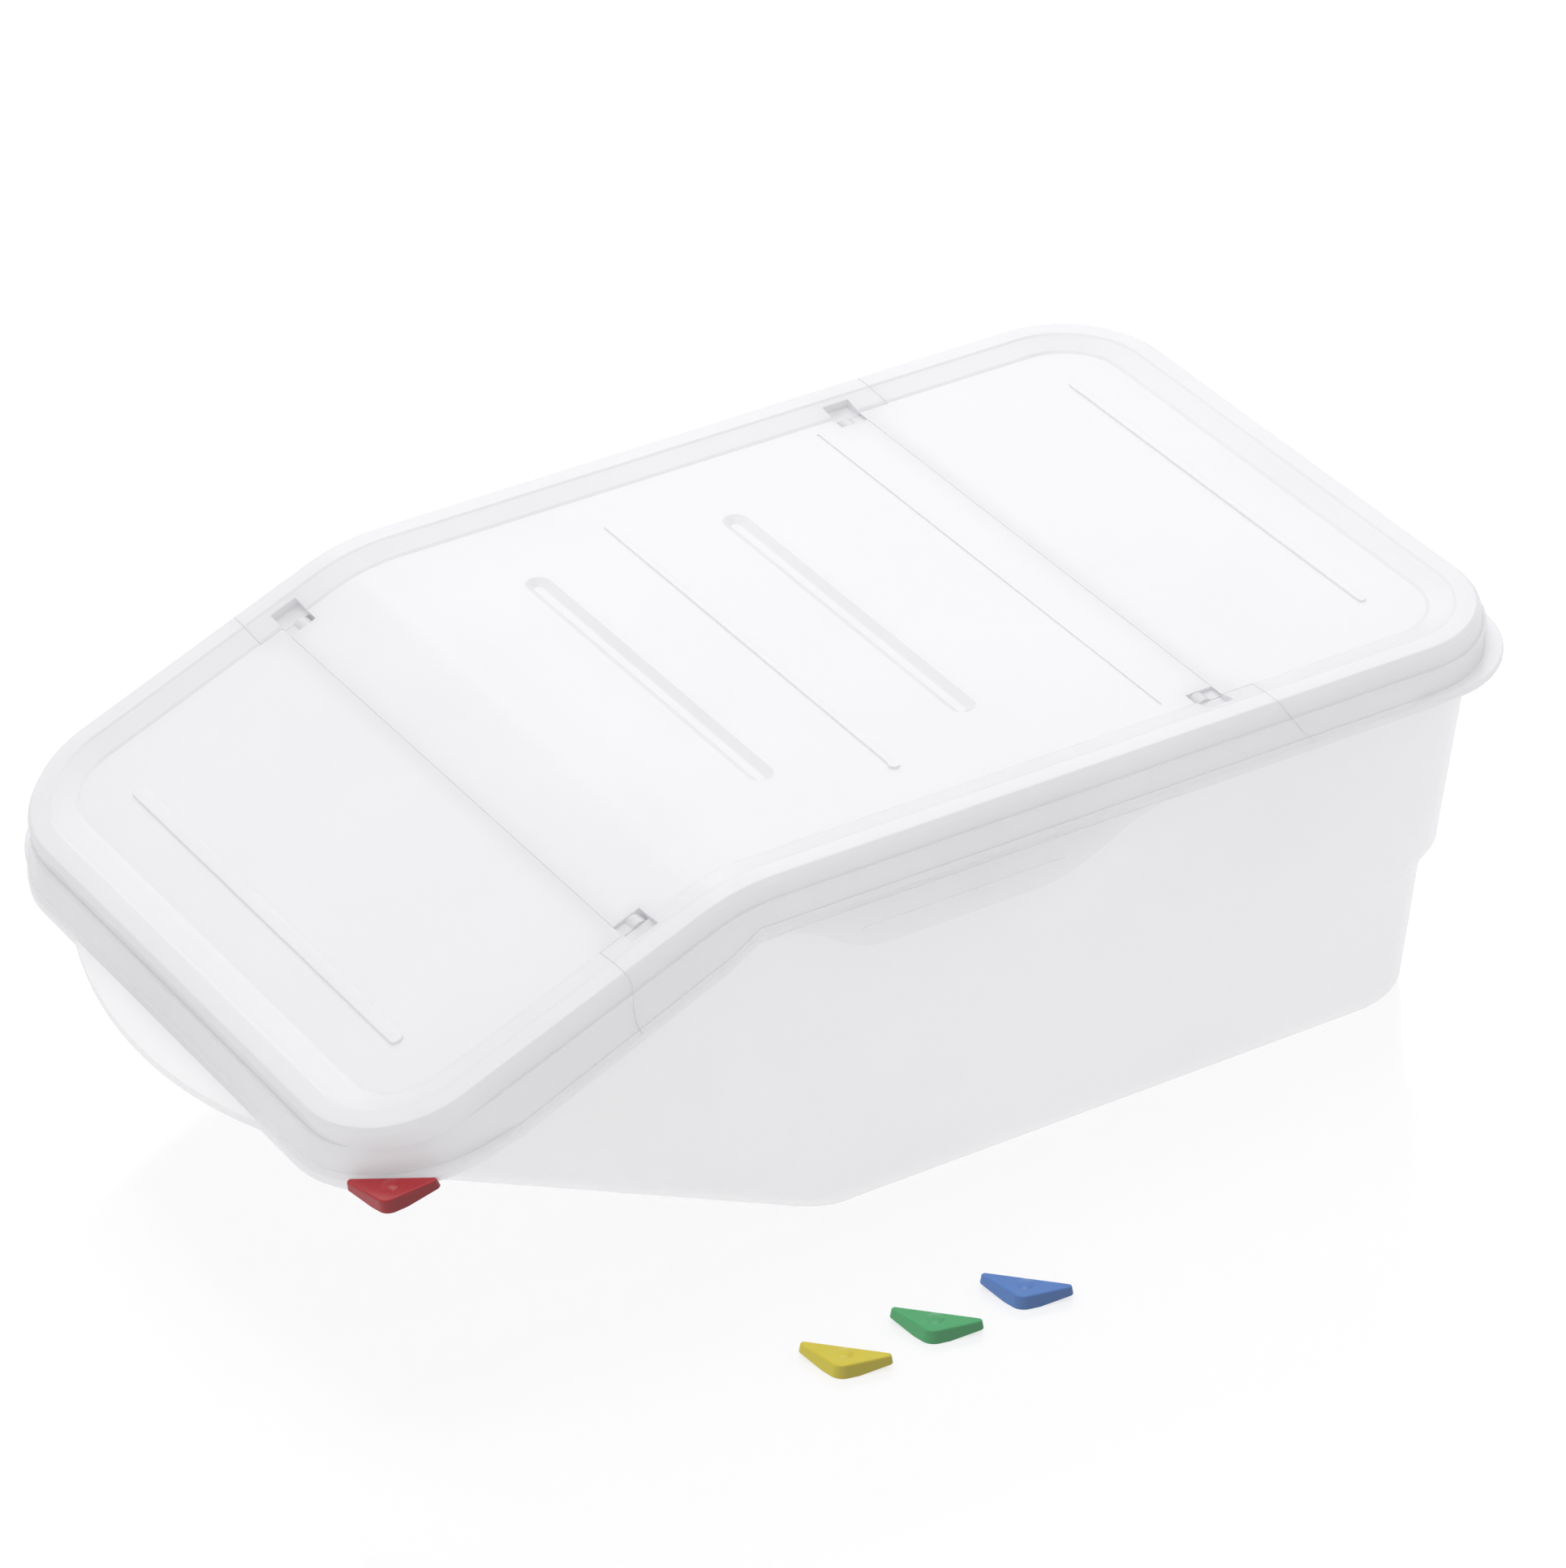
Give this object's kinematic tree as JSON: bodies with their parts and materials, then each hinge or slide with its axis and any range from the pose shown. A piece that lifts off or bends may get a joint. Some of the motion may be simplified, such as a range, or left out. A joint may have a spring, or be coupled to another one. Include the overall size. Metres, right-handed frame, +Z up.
{
  "type": "stackable storage bin",
  "caption": "Long white plastic ingredient bin with a sloping scoop end, a lid with a hinged flap at each end, finger grips, corner lobes and small coloured marker clips.",
  "frame": {"origin": "On the floor, under the middle of the tub's base across its width; along the length it sits at the middle of the flat part of the base.", "axes": "+Z up, +Y towards the rear end, -Y towards the sloping scoop end, +X towards the side that carries the red clip."},
  "size_m": [0.4428, 0.6219, 0.1997],
  "materials": {
    "tub_plastic": "satin",
    "lid_plastic": "satin",
    "red_plastic": "satin",
    "yellow_plastic": "satin",
    "green_plastic": "satin",
    "blue_plastic": "satin"
  },
  "bodies": {
    "tub": {"bin_tub": "tub_plastic"},
    "lid": {"lid_centre": "lid_plastic"},
    "front_flap": {"front_flap": "lid_plastic"},
    "rear_flap": {"rear_flap": "lid_plastic"},
    "red_clip": {"clip_red": "red_plastic"},
    "yellow_clip": {"clip_yellow": "yellow_plastic"},
    "green_clip": {"clip_green": "green_plastic"},
    "blue_clip": {"clip_blue": "blue_plastic"}
  },
  "joints": [
    {"name": "lid_lift", "type": "slide", "parent": "tub", "child": "lid", "axis": [0, 0, 1], "range_m": [0, 0.25]},
    {"name": "front_flap_hinge", "type": "hinge", "parent": "lid", "child": "front_flap", "pos_m": [0, -0.24346, 0.17695], "axis": [-1, 0, 0], "range_deg": [0, 110]},
    {"name": "rear_flap_hinge", "type": "hinge", "parent": "lid", "child": "rear_flap", "pos_m": [0, 0.046, 0.1912], "axis": [1, 0, 0], "range_deg": [0, 110]},
    {"name": "red_clip_pull", "type": "slide", "parent": "front_flap", "child": "red_clip", "axis": [0.7071, -0.6817, -0.188], "range_m": [0, 0.04]},
    {"name": "yellow_clip_lift", "type": "slide", "parent": "tub", "child": "yellow_clip", "axis": [0, 0, 1], "range_m": [0, 0.15]},
    {"name": "green_clip_lift", "type": "slide", "parent": "tub", "child": "green_clip", "axis": [0, 0, 1], "range_m": [0, 0.15]},
    {"name": "blue_clip_lift", "type": "slide", "parent": "tub", "child": "blue_clip", "axis": [0, 0, 1], "range_m": [0, 0.15]}
  ]
}
